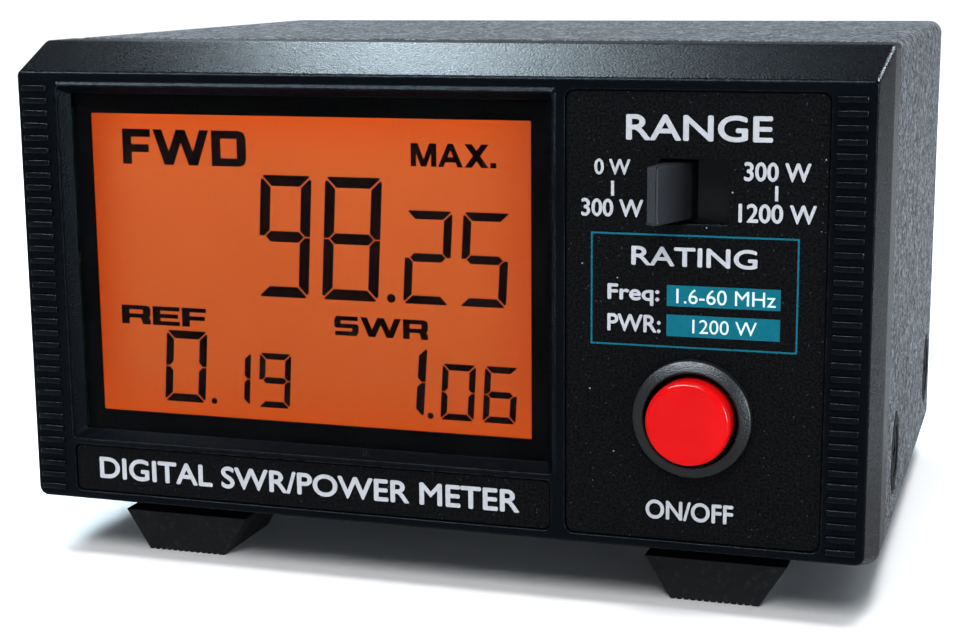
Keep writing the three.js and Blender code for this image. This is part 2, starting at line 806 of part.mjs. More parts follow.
// ---------------------------------------------------------------- DC jack and wiring
const jackCentre = [JACK.x, 0, JACK.z];
const jackInner = 84;
const jackBottom = 92;
const jackEnd = REAR_FACE + 5;
add(
  "dc_jack_body",
  cut(
    join(
      block(JACK.x - 6, JACK.x + 6, jackInner, REAR_FACE - SHEET - GAP, JACK.z - 5.5, JACK.z + 5.5),
      rod("y", jackCentre, JACK.barrel, jackBottom - 2, jackEnd),
    ),
    rod("y", jackCentre, JACK.bore, jackBottom, jackEnd + 1),
    rod("y", jackCentre, JACK.pin + 0.2, jackInner + 2, jackBottom + 1, 12),
  ),
  black,
);
add("dc_jack_pin", rod("y", jackCentre, JACK.pin, jackInner + 2 + GAP, jackEnd - 0.8, 12), nickel);
add(
  "dc_jack_nut",
  cut(
    prism(hexagon(6.4, [JACK.x, JACK.z]), REAR_FACE + GAP, REAR_FACE + GAP + 2),
    rod("y", jackCentre, JACK.barrel + GAP, REAR_FACE, jackEnd),
  ),
  nickel,
);

// Bundle of wires of one radius, along a smooth route.
function bundle(radius, ...points) {
  const route = new THREE.CatmullRomCurve3(points.map((point) => new THREE.Vector3(...point)));
  return new THREE.ExtrudeGeometry(hexagon(radius, [0, 0]), { steps: 12, extrudePath: route });
}

const harnessFork = [-24, 42, 15];
const harnessStart = { x: -37, z: 25 };
const couplerPlug = { x: -10, z: 30 };
add(
  "wiring_harness",
  join(
    bundle(
      2.2,
      [harnessStart.x, connectorBack + GAP, harnessStart.z],
      [harnessStart.x, 22, 24],
      harnessFork,
      [-12, 56, 24],
      [couplerPlug.x, 63.5, couplerPlug.z],
      [couplerPlug.x, CAN.y0 - 2.4, couplerPlug.z],
    ),
    bundle(
      1.3,
      harnessFork,
      [4, 48, 12],
      [34, 68, 14],
      [JACK.x, jackInner - 5, JACK.z],
      [JACK.x, jackInner - 0.4, JACK.z],
    ),
  ),
  wire,
);

meter.position.y = -MIDDLE;
const group = new THREE.Group();
group.add(meter);

export default group;
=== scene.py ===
import json
import math

import bmesh
import bpy
from mathutils import Matrix, Vector
from mathutils.geometry import tessellate_polygon


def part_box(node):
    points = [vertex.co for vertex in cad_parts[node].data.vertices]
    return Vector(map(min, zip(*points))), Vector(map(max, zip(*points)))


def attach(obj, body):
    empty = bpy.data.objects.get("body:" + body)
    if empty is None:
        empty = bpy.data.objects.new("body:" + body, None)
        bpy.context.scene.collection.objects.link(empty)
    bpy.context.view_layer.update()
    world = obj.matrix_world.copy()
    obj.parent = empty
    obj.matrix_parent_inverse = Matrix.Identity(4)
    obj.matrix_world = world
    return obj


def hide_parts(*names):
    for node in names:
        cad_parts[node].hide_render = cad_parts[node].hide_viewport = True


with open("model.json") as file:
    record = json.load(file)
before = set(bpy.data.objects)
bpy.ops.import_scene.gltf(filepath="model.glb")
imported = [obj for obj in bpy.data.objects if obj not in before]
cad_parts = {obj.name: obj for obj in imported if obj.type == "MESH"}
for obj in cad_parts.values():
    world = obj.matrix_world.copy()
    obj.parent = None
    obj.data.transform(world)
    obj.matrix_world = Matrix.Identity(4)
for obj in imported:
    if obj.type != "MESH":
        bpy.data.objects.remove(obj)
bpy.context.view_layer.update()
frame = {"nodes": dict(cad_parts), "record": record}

MM = 0.001
nodes = frame["nodes"]


# ---------------------------------------------------------------- camera, floor and light
# The photograph's camera: its place in metres, its angles in degrees and its lens in millimetres.
CAMERA_PLACE = (0.08055, -0.27993, 0.08425)
YAW, PITCH, ROLL = 17.70, 11.01, -0.48
LENS, SENSOR_WIDTH = 69.14, 36
SHIFT = (0.0017, 0.0059)

# The soft boxes stand at one distance from the middle of the meter, in metres.
LIT_POINT = Vector((0, 0, 0.04))
BOX_DISTANCE = 1.0
COOL_LIGHT = (0.78, 0.9, 1.0)


def make_camera():
    """A long lens in front of the meter and above it, turned to the left and down."""
    yaw, pitch, roll = math.radians(YAW), math.radians(PITCH), math.radians(ROLL)
    forward = Vector(
        (-math.sin(yaw) * math.cos(pitch), math.cos(yaw) * math.cos(pitch), -math.sin(pitch))
    )
    right = Vector((math.cos(yaw), math.sin(yaw), 0))
    up = right.cross(forward)
    across = right * math.cos(roll) + up * math.sin(roll)
    upward = up * math.cos(roll) - right * math.sin(roll)
    camera = bpy.data.objects.new("camera", bpy.data.cameras.new("camera"))
    camera.data.lens = LENS
    camera.data.sensor_width = SENSOR_WIDTH
    camera.data.shift_x, camera.data.shift_y = SHIFT
    camera.data.clip_start = 0.01
    rotation = Matrix((across, upward, -forward)).transposed().to_4x4()
    camera.matrix_world = Matrix.Translation(CAMERA_PLACE) @ rotation
    bpy.context.scene.collection.objects.link(camera)
    bpy.context.scene.camera = camera


def add_light(name, data, towards):
    """Links a light that shines from a direction, and turns it to face the meter."""
    light = bpy.data.objects.new(name, data)
    light.rotation_mode = "QUATERNION"
    light.rotation_quaternion = towards.to_track_quat("Z", "Y")
    bpy.context.scene.collection.objects.link(light)
    return light


def area_light(name, towards, size, radiance, color=COOL_LIGHT, gloss_only=False):
    """A soft box of the same radiance whatever its size. A gloss-only box lights no matt surface and
    shows as a highlight on edges."""
    data = bpy.data.lights.new(name, "AREA")
    data.shape = "RECTANGLE"
    data.size, data.size_y = size
    data.energy = radiance * math.pi * size[0] * size[1]
    data.color = color
    direction = Vector(towards).normalized()
    light = add_light(name, data, direction)
    light.location = LIT_POINT + direction * BOX_DISTANCE
    light.visible_camera = False
    light.visible_diffuse = not gloss_only


def sun(name, towards, strength, spread):
    """Parallel light with soft shadows; spread is the angle in degrees that its source fills."""
    data = bpy.data.lights.new(name, "SUN")
    data.energy = strength
    data.angle = math.radians(spread)
    add_light(name, data, Vector(towards).normalized())


def make_world():
    """Even studio surroundings, dim above and pale towards the horizon."""
    world = bpy.data.worlds.new("studio")
    world.use_nodes = True
    tree = world.node_tree
    background = tree.nodes["Background"]
    coordinate = tree.nodes.new("ShaderNodeTexCoord")
    split = tree.nodes.new("ShaderNodeSeparateXYZ")
    ramp = tree.nodes.new("ShaderNodeMapRange")
    ramp.inputs["From Min"].default_value = 0.03
    ramp.inputs["From Max"].default_value = 0.25
    ramp.inputs["To Min"].default_value = 1.0
    ramp.inputs["To Max"].default_value = 0.26
    tree.links.new(coordinate.outputs["Generated"], split.inputs[0])
    tree.links.new(split.outputs["Z"], ramp.inputs["Value"])
    tree.links.new(ramp.outputs["Result"], background.inputs["Strength"])
    background.inputs["Color"].default_value = (0.86, 0.93, 1.0, 1)
    bpy.context.scene.world = world


# ---------------------------------------------------------------- materials
class Material:
    """A Principled material with the node chains that the finishes below are made of."""

    def __init__(self, name, color, roughness, **sockets):
        self.data = bpy.data.materials.new(name)
        self.data.use_nodes = True
        self.tree = self.data.node_tree
        self.shader = self.tree.nodes["Principled BSDF"]
        self.shader.inputs["Base Color"].default_value = (*color, 1)
        self.shader.inputs["Roughness"].default_value = roughness
        for socket, value in sockets.items():
            self.shader.inputs[socket.replace("_", " ")].default_value = value
        self.place = self.node("ShaderNodeTexCoord").outputs["Object"]

    def node(self, kind, **values):
        made = self.tree.nodes.new(kind)
        for socket, value in values.items():
            made.inputs[socket.replace("_", " ")].default_value = value
        return made

    def link(self, source, target):
        self.tree.links.new(source, target)

    def noise(self, scale, detail=2.0, distortion=0.0, stretch=None):
        """Cloudy noise from 0 to 1, of about scale features in a metre, times stretch along each axis."""
        texture = self.node("ShaderNodeTexNoise", Scale=scale, Detail=detail, Distortion=distortion)
        place = self.place
        if stretch:
            mapping = self.node("ShaderNodeMapping", Scale=stretch)
            self.link(place, mapping.inputs["Vector"])
            place = mapping.outputs["Vector"]
        self.link(place, texture.inputs["Vector"])
        return texture.outputs["Fac"]

    def picked_cells(self, scale, share):
        """1 in the middle of a random share of small cells and 0 elsewhere: scattered specks."""
        texture = self.node("ShaderNodeTexVoronoi", Scale=scale)
        self.link(self.place, texture.inputs["Vector"])
        split = self.node("ShaderNodeSeparateXYZ")
        self.link(texture.outputs["Color"], split.inputs[0])
        chosen = self.math("LESS_THAN", split.outputs["X"], share)
        middle = self.remap(texture.outputs["Distance"], 0.34, 0.2, 0, 1)
        return self.math("MULTIPLY", chosen, middle)

    def remap(self, value, from_min, from_max, to_min, to_max):
        """A value carried from one range to another and held at the ends of the second."""
        ramp = self.node(
            "ShaderNodeMapRange",
            From_Min=from_min,
            From_Max=from_max,
            To_Min=to_min,
            To_Max=to_max,
        )
        self.link(value, ramp.inputs["Value"])
        return ramp.outputs["Result"]

    def math(self, operation, first, second):
        """A sum, product or the like; each of the two is a number or an output."""
        made = self.node("ShaderNodeMath")
        made.operation = operation
        for slot, value in enumerate((first, second)):
            if isinstance(value, (int, float)):
                made.inputs[slot].default_value = value
            else:
                self.link(value, made.inputs[slot])
        return made.outputs["Value"]

    def blend(self, factor, first, second):
        """A colour that goes from the first to the second; each is a colour or an output."""
        mix = self.node("ShaderNodeMix")
        mix.data_type = "RGBA"
        self.link(factor, mix.inputs["Factor"])
        for socket, value in (("A", first), ("B", second)):
            target = next(i for i in mix.inputs if i.name == socket and i.type == "RGBA")
            if isinstance(value, tuple):
                target.default_value = (*value, 1)
            else:
                self.link(value, target)
        return next(o for o in mix.outputs if o.type == "RGBA")

    def edges(self, radius):
        """Near 1 on worn outer edges and 0 on flat faces, from how far a rounded normal leans."""
        rounded = self.node("ShaderNodeBevel", Radius=radius)
        rounded.samples = 4
        geometry = self.node("ShaderNodeNewGeometry")
        product = self.node("ShaderNodeVectorMath")
        product.operation = "DOT_PRODUCT"
        self.link(rounded.outputs["Normal"], product.inputs[0])
        self.link(geometry.outputs["Normal"], product.inputs[1])
        return self.remap(product.outputs["Value"], 0.995, 0.85, 0, 1)

    def tint(self, source):
        self.link(source, self.shader.inputs["Base Color"])

    def rough(self, source):
        self.link(source, self.shader.inputs["Roughness"])

    def satin(self, front, grazing):
        """Gloss that fades from the front level to a lower one where a face turns away. The socket
        itself keeps the front level."""
        facing = self.node("ShaderNodeLayerWeight", Blend=0.5).outputs["Facing"]
        level = self.remap(facing, 0.6, 0.8, front, grazing)
        self.shader.inputs["Specular IOR Level"].default_value = front
        self.link(level, self.shader.inputs["Specular IOR Level"])

    def bump(self, height, distance):
        """Relief of a height between 0 and 1 over a distance in metres, on top of what is there."""
        bump = self.node("ShaderNodeBump", Strength=1.0, Distance=distance)
        self.link(height, bump.inputs["Height"])
        target = self.shader.inputs["Normal"]
        if target.is_linked:
            self.link(target.links[0].from_socket, bump.inputs["Normal"])
        self.link(bump.outputs["Normal"], target)


def shade(color, factor):
    """A colour made darker by a factor below 1, or paler by one above."""
    return tuple(min(1.0, c * factor) for c in color)


def plastic(name, color, roughness, grain=0.3, relief=0.012, wear=0.06, satin=None, **sockets):
    """Moulded plastic with a spark-eroded grain: grain is its size and relief its depth, both in mm.
    Wear is how far the edges are worn towards grey, and satin a front and a grazing gloss."""
    made = Material(name, color, roughness, **sockets)
    if satin:
        made.satin(*satin)
    cloud = made.noise(45, 3)
    wear_and_shade = made.remap(made.noise(700, 3), 0.35, 0.7, 0, wear)
    worn = made.math("MULTIPLY", made.edges(0.3 * MM), wear_and_shade)
    tinted = made.blend(made.remap(cloud, 0.3, 0.7, 0, 1), shade(color, 0.85), shade(color, 1.2))
    made.tint(made.blend(worn, tinted, (0.45, 0.47, 0.5)))
    skin = made.noise(1 / (grain * MM), 2)
    made.rough(made.remap(skin, 0.3, 0.7, roughness - 0.06, roughness + 0.06))
    made.bump(skin, relief * MM)
    return made.data


def film(name, color, roughness):
    """Printed polyester overlay: fine matt texture with many faint specks and a few bright ones."""
    made = Material(name, color, roughness, Specular_IOR_Level=0.02)
    grain = made.remap(made.noise(3200, 1), 0.35, 0.7, 0, 1)
    tinted = made.blend(grain, shade(color, 0.5), shade(color, 2.5))
    tinted = made.blend(made.picked_cells(3000, 0.04), tinted, (0.03, 0.033, 0.038))
    made.tint(made.blend(made.picked_cells(2800, 0.002), tinted, (0.3, 0.33, 0.38)))
    made.rough(made.remap(grain, 0, 1, roughness - 0.08, roughness + 0.08))
    made.bump(grain, 0.01 * MM)
    return made.data


def wrinkle_paint(name, color, roughness):
    """Baked wrinkle enamel on sheet steel: fine folds, with painted highlights on their crests and painted
    shade in their darker valleys.
    """
    made = Material(name, color, roughness)
    made.satin(0.015, 0.002)
    folds = made.noise(950, 2, distortion=1.6, stretch=(1, 0.6, 1))
    # Painted highlight: pale glints coloured onto the crests of the folds, in patches.
    painted_crest_glints = made.remap(folds, 0.5, 0.62, 0, 1)
    glint_patches = made.remap(made.noise(130, 2), 0.35, 0.65, 0.4, 1)
    # Painted shade: the valleys of the folds are coloured darker.
    tinted = made.blend(made.remap(folds, 0.36, 0.52, 0, 1), shade(color, 0.45), color)
    made.tint(made.blend(made.math("MULTIPLY", painted_crest_glints, glint_patches), tinted, shade(color, 2.2)))
    made.rough(made.remap(folds, 0.3, 0.7, roughness + 0.1, roughness - 0.1))
    made.bump(folds, 1.6 * MM)
    return made.data


def painted_shade_plastic(name, color, tip_color, base, tip, roughness):
    """Satin black plastic with painted shade from its base to its tip, along y: darker at the base, paler
    towards the tip.
    """
    made = Material(name, color, roughness, Specular_IOR_Level=0.08)
    split = made.node("ShaderNodeSeparateXYZ")
    made.link(made.place, split.inputs[0])
    # Painted shade: the base, down by the slot, is coloured darker and the tip paler.
    reach = made.remap(split.outputs["Y"], base, tip, 0, 1)
    grain = made.noise(2500, 2)
    wear_and_shade = made.math("MULTIPLY", reach, made.remap(grain, 0.3, 0.7, 0.8, 1.15))
    made.tint(made.blend(wear_and_shade, color, tip_color))
    made.rough(made.remap(grain, 0.3, 0.7, roughness + 0.05, roughness - 0.05))
    made.bump(grain, 0.01 * MM)
    return made.data


def metal(name, color, roughness, stretch=None):
    """Bare or plated metal with slight tarnish and fine scratches, which stretch crowds along an axis."""
    made = Material(name, color, roughness, Metallic=1.0)
    lines = made.noise(900, 3, stretch=stretch)
    cloud = made.noise(90, 3, distortion=0.5)
    made.tint(made.blend(made.remap(cloud, 0.3, 0.7, 0, 1), shade(color, 0.92), shade(color, 1.04)))
    made.rough(made.remap(lines, 0.3, 0.7, roughness - 0.04, roughness + 0.06))
    made.bump(lines, 0.004 * MM)
    return made.data


def rubber(name, color, roughness):
    """Matt rubber with dust in its pores."""
    made = Material(name, color, roughness, Specular_IOR_Level=0.1)
    dust = made.remap(made.noise(1300, 3), 0.55, 0.8, 0, 0.12)
    made.tint(made.blend(dust, color, (0.12, 0.12, 0.12)))
    made.rough(made.remap(made.noise(350, 3), 0.3, 0.7, roughness - 0.1, roughness + 0.1))
    made.bump(made.noise(2400, 3), 0.03 * MM)
    return made.data


def ink(name, color, shine=0.2):
    """Screen-printed ink with slightly uneven cover."""
    made = Material(name, color, 0.5, Specular_IOR_Level=shine)
    cover = made.remap(made.noise(1500, 3), 0.3, 0.7, 0, 1)
    made.tint(made.blend(cover, shade(color, 0.93), shade(color, 1.04)))
    made.rough(made.remap(made.noise(900, 2), 0.3, 0.7, 0.43, 0.57))
    made.bump(made.noise(2600, 2), 0.004 * MM)
    return made.data


def window_plastic(name):
    """Clear acrylic with an anti-glare face: faint smears in its gloss."""
    made = Material(name, (0.98, 0.99, 1.0), 0.03, Transmission_Weight=1.0, IOR=1.05)
    made.rough(made.remap(made.noise(60, 3), 0.35, 0.75, 0.0, 0.035))
    made.bump(made.noise(25, 2), 0.002 * MM)
    return made.data


def lit_display(name, area):
    """Amber light from an edge-lit guide over an area, given by its lowest and highest corners: paler
    in the middle and deeper red towards the edges."""
    made = Material(name, (0.03, 0.008, 0.002), 0.5, Specular_IOR_Level=0.01)
    low, high = area
    split = made.node("ShaderNodeSeparateXYZ")
    made.link(made.place, split.inputs[0])
    rise = made.remap(split.outputs["Z"], low.z, high.z, 0, 1)
    glow = made.blend(rise, (0.50, 0.080, 0.014), (0.66, 0.116, 0.026))
    # Each edge: its axis and place, its reach inwards in mm, how steeply it fades, and its colour.
    for axis, edge, reach, fade, color in [
        ("Z", high.z, -9, 1.6, (0.72, 0.084, 0.008)),
        ("X", low.x, 7, 1.5, (0.49, 0.044, 0.001)),
        ("X", high.x, -9, 1.5, (0.50, 0.060, 0.010)),
        ("Z", low.z, 8, 1.5, (0.56, 0.065, 0.004)),
    ]:
        near = made.remap(split.outputs[axis], edge, edge + reach * MM, 1, 0)
        glow = made.blend(made.math("POWER", near, fade), glow, color)
    mottle = made.remap(made.noise(55, 3), 0.3, 0.7, 0, 0.16)
    glow = made.blend(mottle, glow, (0.46, 0.055, 0.006))
    made.link(glow, made.shader.inputs["Emission Color"])
    made.shader.inputs["Emission Strength"].default_value = 0.9
    made.rough(made.remap(made.noise(300, 2), 0.3, 0.7, 0.4, 0.6))
    made.bump(made.noise(2000, 2), 0.002 * MM)
    return made.data


def circuit_board(name, color):
    """Solder mask over copper tracks."""
    made = Material(name, color, 0.35)
    brick = made.node("ShaderNodeTexBrick", Scale=120.0, Mortar_Size=0.03)
    made.link(made.place, brick.inputs["Vector"])
    tracks = made.remap(brick.outputs["Fac"], 0, 1, 0, 0.5)
    made.tint(made.blend(tracks, color, shade(color, 2.2)))
    made.rough(made.remap(made.noise(300, 2), 0.3, 0.7, 0.28, 0.45))
    made.bump(brick.outputs["Fac"], 0.03 * MM)
    return made.data


# ---------------------------------------------------------------- mesh helpers
WELD_DISTANCE = 2e-6
CORNER_STEPS = 8
BEND_STEPS = 4


def new_piece(name, mesh, material, slot, body, *replaced):
    """An object of one mesh and one material that rides a body and may replace CAD nodes."""
    piece = bpy.data.objects.new(name, mesh)
    bpy.context.scene.collection.objects.link(piece)
    mesh.materials.clear()
    mesh.materials.append(material)
    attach(piece, body)
    if replaced:
        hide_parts(*replaced)
    return piece


def dress(node, material, round_off):
    """Gives a CAD node its material, and rounds its edges with modifiers that leave its mesh alone."""
    piece = nodes[node]
    piece.data.materials.clear()
    piece.data.materials.append(material)
    smooth(piece.data)
    if "custom_normal" in piece.data.attributes:
        piece.data.attributes.remove(piece.data.attributes["custom_normal"])
    weld = piece.modifiers.new("weld", "WELD")
    weld.merge_threshold = WELD_DISTANCE
    bevel = piece.modifiers.new("rounded edges", "BEVEL")
    bevel.width = round_off * MM
    bevel.segments = 2
    bevel.limit_method = "ANGLE"
    bevel.angle_limit = math.radians(26)
    bevel.use_clamp_overlap = False
    bevel.miter_outer = "MITER_ARC"
    bevel.harden_normals = False
    weigh_normals(piece)


def weigh_normals(piece):
    """Lets large flat faces set the normals, so that only the rounded edges between them shade round."""
    normals = piece.modifiers.new("normals", "WEIGHTED_NORMAL")
    normals.mode = "FACE_AREA"
    normals.weight = 80


def smooth(mesh):
    mesh.polygons.foreach_set("use_smooth", [True] * len(mesh.polygons))


def closed_mesh(name, vertices, faces):
    """A mesh of a closed body, with its faces turned to point out."""
    mesh = bpy.data.meshes.new(name)
    mesh.from_pydata(vertices, [], faces)
    mesh.update()
    bm = bmesh.new()
    bm.from_mesh(mesh)
    bmesh.ops.recalc_face_normals(bm, faces=bm.faces)
    bm.to_mesh(mesh)
    bm.free()
    return mesh


def lathe(name, centre, profile, sides=96, smooth_angle=35):
    """A body turned about the Y direction through a centre, from (radius, y) pairs in mm, where y is
    measured from the centre. The profile starts and ends on the axis or closes on itself. Edges
    sharper than the smooth angle stay crisp."""
    vertices, faces, rings = [], [], []
    for radius, along in profile:
        if radius == 0:
            rings.append([len(vertices)])
            vertices.append(centre + Vector((0, along * MM, 0)))
            continue
        rings.append(list(range(len(vertices), len(vertices) + sides)))
        for i in range(sides):
            angle = 2 * math.pi * i / sides
            offset = Vector((radius * math.cos(angle), along, radius * math.sin(angle)))
            vertices.append(centre + offset * MM)
    pairs = list(zip(rings, rings[1:]))
    if profile[0][0] and profile[-1][0]:
        pairs.append((rings[-1], rings[0]))
    for first, second in pairs:
        for i in range(sides):
            j = (i + 1) % sides
            corners = [first[i % len(first)], first[j % len(first)]]
            corners += [second[j % len(second)], second[i % len(second)]]
            face = list(dict.fromkeys(corners))
            if len(face) > 2:
                faces.append(face)
    mesh = closed_mesh(name, vertices, faces)
    smooth(mesh)
    mesh.set_sharp_from_angle(angle=math.radians(smooth_angle))
    return mesh


class Skin:
    """One mesh made of rings of points, in mm, with strips between rings and flat fills across them.
    The points' y is measured from a front plane, which is given in metres."""

    def __init__(self, front):
        self.front = front
        self.vertices = []
        self.faces = []

    def ring(self, points):
        """Adds a closed loop of points and gives the list of their indices."""
        first = len(self.vertices)
        self.vertices += [Vector((x * MM, self.front + y * MM, z * MM)) for x, y, z in points]
        return list(range(first, len(self.vertices)))

    def strip(self, rings):
        """Joins rings with equal numbers of points, each to the next."""
        for first, second in zip(rings, rings[1:]):
            for i in range(len(first)):
                j = (i + 1) % len(first)
                self.faces.append([first[i], first[j], second[j], second[i]])

    def fill(self, outer, *holes):
        """Fills a flat ring, apart from the rings inside it."""
        loops = [outer, *holes]
        order = [index for loop in loops for index in loop]
        points = [[self.vertices[index] for index in loop] for loop in loops]
        self.faces += [[order[i] for i in triangle] for triangle in tessellate_polygon(points)]

    def mesh(self, name):
        mesh = closed_mesh(name, self.vertices, self.faces)
        smooth(mesh)
        return mesh


def rounded(rect):
    """Points of a rounded rectangle given as (x0, x1, z0, z1, lower radius, upper radius)."""
    x0, x1, z0, z1, low, high = rect
    corners = [
        (x1 - low, z0 + low, low, -90),
        (x1 - high, z1 - high, high, 0),
        (x0 + high, z1 - high, high, 90),
        (x0 + low, z0 + low, low, 180),
    ]
    points = []
    for x, z, radius, start in corners:
        for i in range(CORNER_STEPS + 1):
            angle = math.radians(start + 90 * i / CORNER_STEPS)
            points.append((x + radius * math.cos(angle), z + radius * math.sin(angle)))
    return points


def grow(rect, by, radius=None):
    """The rectangle with each side moved out, and with a new corner radius if one is given."""
    x0, x1, z0, z1, *radii = rect
    return (x0 - by, x1 + by, z0 - by, z1 + by, *(radii if radius is None else (radius, radius)))


def between(first, second, t):
    """Part of the way from one section to another; a section is (y, rectangle)."""
    y = first[0] + (second[0] - first[0]) * t
    return (y, tuple(a + (b - a) * t for a, b in zip(first[1], second[1])))


def bend(first, corner, second):
    """Sections of a rounded edge that leaves the first section and reaches the second."""
    shares = [i / BEND_STEPS for i in range(BEND_STEPS + 1)]
    return [between(between(first, corner, t), between(corner, second, t), t) for t in shares]


def arc(centre, radius, start, end, steps=6):
    """Points of an arc in a profile of (radius, y) pairs, with its angles in degrees."""
    points = []
    for i in range(steps + 1):
        angle = math.radians(start + (end - start) * i / steps)
        points.append((centre[0] + radius * math.cos(angle), centre[1] + radius * math.sin(angle)))
    return points


# ---------------------------------------------------------------- printed matter
PRINT_THICK = 0.03 * MM
PRINT_SUNK = PRINT_THICK / 3


def dot(x, z, radius, sides=20):
    turn = 2 * math.pi / sides
    return [(x + radius * math.cos(i * turn), z + radius * math.sin(i * turn)) for i in range(sides)]


def bar(x0, x1, z0, z1):
    return [(x0, z0), (x1, z0), (x1, z1), (x0, z1)]


def flat_prints(name, outlines, y):
    """Thin prisms that face -Y, from polygons of (x, z) in mm, standing proud of the plane y."""
    vertices, faces = [], []
    for outline in outlines:
        count, first = len(outline), len(vertices)
        vertices += [(x * MM, y - PRINT_THICK, z * MM) for x, z in outline]
        vertices += [(x * MM, y + PRINT_SUNK, z * MM) for x, z in outline]
        faces.append(list(range(first, first + count)))
        faces.append(list(range(first + 2 * count - 1, first + count - 1, -1)))
        for i in range(count):
            j = (i + 1) % count
            faces.append([first + i, first + count + i, first + count + j, first + j])
    return closed_mesh(name, vertices, faces)


def flat_text(text):
    """A text's filled outlines in Blender's own font, as a flat mesh in the XY plane."""
    curve = bpy.data.curves.new("text", "FONT")
    curve.body = text
    curve.resolution_u = 5
    carrier = bpy.data.objects.new("text", curve)
    bpy.context.scene.collection.objects.link(carrier)
    bpy.context.view_layer.update()
    view = bpy.context.evaluated_depsgraph_get()
    flat = bpy.data.meshes.new_from_object(carrier.evaluated_get(view))
    bpy.data.objects.remove(carrier)
    bpy.data.curves.remove(curve)
    bm = bmesh.new()
    bm.from_mesh(flat)
    bmesh.ops.remove_doubles(bm, verts=bm.verts, dist=1e-5)
    bm.to_mesh(flat)
    bm.free()
    return flat


def add_prisms(letters, flat, places, front):
    """Adds to a bmesh a flat mesh with its vertices moved to places, as prisms that reach y = front."""
    layer = bmesh.new()
    layer.from_mesh(flat)
    for vertex, place in zip(layer.verts, places):
        vertex.co = place
    made = bmesh.ops.extrude_face_region(layer, geom=list(layer.faces))
    for corner in made["geom"]:
        if isinstance(corner, bmesh.types.BMVert):
            corner.co.y = front
    bmesh.ops.recalc_face_normals(layer, faces=layer.faces)
    solid = bpy.data.meshes.new("layer")
    layer.to_mesh(solid)
    layer.free()
    letters.from_mesh(solid)
    bpy.data.meshes.remove(solid)


def span(values):
    low = min(values)
    return low, max(values) - low


def lettering(name, text, x0, x1, z0, z1, y, bold=0.03, facing=-1):
    """Text as thin solid letters that exactly fill a box of x and z in mm, on the plane y.
    They face -Y, or +Y where facing is 1. Bold is the growth of the strokes as a share of the height:
    the letters are printed four times, a little apart, each layer slightly thicker than the last."""
    flat = flat_text(text)
    left, width = span([v.co.x for v in flat.vertices])
    bottom, height = span([v.co.y for v in flat.vertices])
    growth = bold * (z1 - z0)
    wide = (x1 - x0 - 2 * growth) / width
    tall = (z1 - z0 - 2 * growth) / height
    start = x1 - growth if facing > 0 else x0 + growth
    back = y - facing * PRINT_SUNK
    shifts = [(-growth, 0), (growth, 0), (0, -growth), (0, growth)] if bold else [(0, 0)]
    letters = bmesh.new()
    for layer, (dx, dz) in enumerate(shifts):
        places = []
        for v in flat.vertices:
            x = start - facing * (v.co.x - left) * wide + dx
            z = z0 + growth + (v.co.y - bottom) * tall + dz
            places.append((x * MM, back, z * MM))
        add_prisms(letters, flat, places, y + facing * PRINT_THICK * (1 + 0.05 * layer))
    bpy.data.meshes.remove(flat)
    mesh = bpy.data.meshes.new(name)
    letters.to_mesh(mesh)
    letters.free()
    return mesh


# Which segments a figure lights: A at the top, then B to F clockwise, and G in the middle.
SEGMENTS = {
    "0": "ABCDEF",
    "1": "BC",
    "2": "ABGED",
    "5": "AFGCD",
    "6": "AFGEDC",
    "8": "ABCDEFG",
    "9": "ABCDFG",
}


def digit(figure, x0, x1, z0, z1, stroke, gap, lean):
    """Outlines of a seven-segment figure with mitred joints, leaning to the right by lean mm in all."""
    # w and h are its upright size, t is the stroke, g the gap and m the middle of its height.
    w, h = x1 - x0 - lean, z1 - z0
    t, g, m = stroke, gap, h / 2
    cut = 0.2 * t
    upper_left = [
        (0, m + g / 2),
        (t * 0.5, m + g / 2),
        (t, m + g + t * 0.45),
        (t, h - t - g),
        (cut, h - g - cut),
        (0, h - g - 1.6 * cut),
    ]
    top = [
        (t + g, h - t),
        (w - t - g, h - t),
        (w - g - cut * 0.4, h - cut * 0.6),
        (w - g - cut, h),
        (g + cut, h),
        (g + cut * 0.4, h - cut * 0.6),
    ]
    middle = [
        (t * 0.5 + g, m),
        (t + g, m - t / 2),
        (w - t - g, m - t / 2),
        (w - t * 0.5 - g, m),
        (w - t - g, m + t / 2),
        (t + g, m + t / 2),
    ]
    shapes = {
        "A": top,
        "B": [(w - x, z) for x, z in upper_left],
        "C": [(w - x, h - z) for x, z in upper_left],
        "D": [(x, h - z) for x, z in top],
        "E": [(x, h - z) for x, z in upper_left],
        "F": upper_left,
        "G": middle,
    }
    return [
        [(x0 + x + lean * z / h, z0 + z) for x, z in shapes[key]] for key in SEGMENTS[figure]
    ]


# Widths of the display's extended capitals, as shares of their height.
WIDE = {
    "A": 1.25,
    "D": 1.02,
    "E": 0.95,
    "F": 0.85,
    "M": 1.3,
    "R": 1.02,
    "S": 1.02,
    "W": 1.68,
    "X": 1.2,
    ".": 0.3,
}


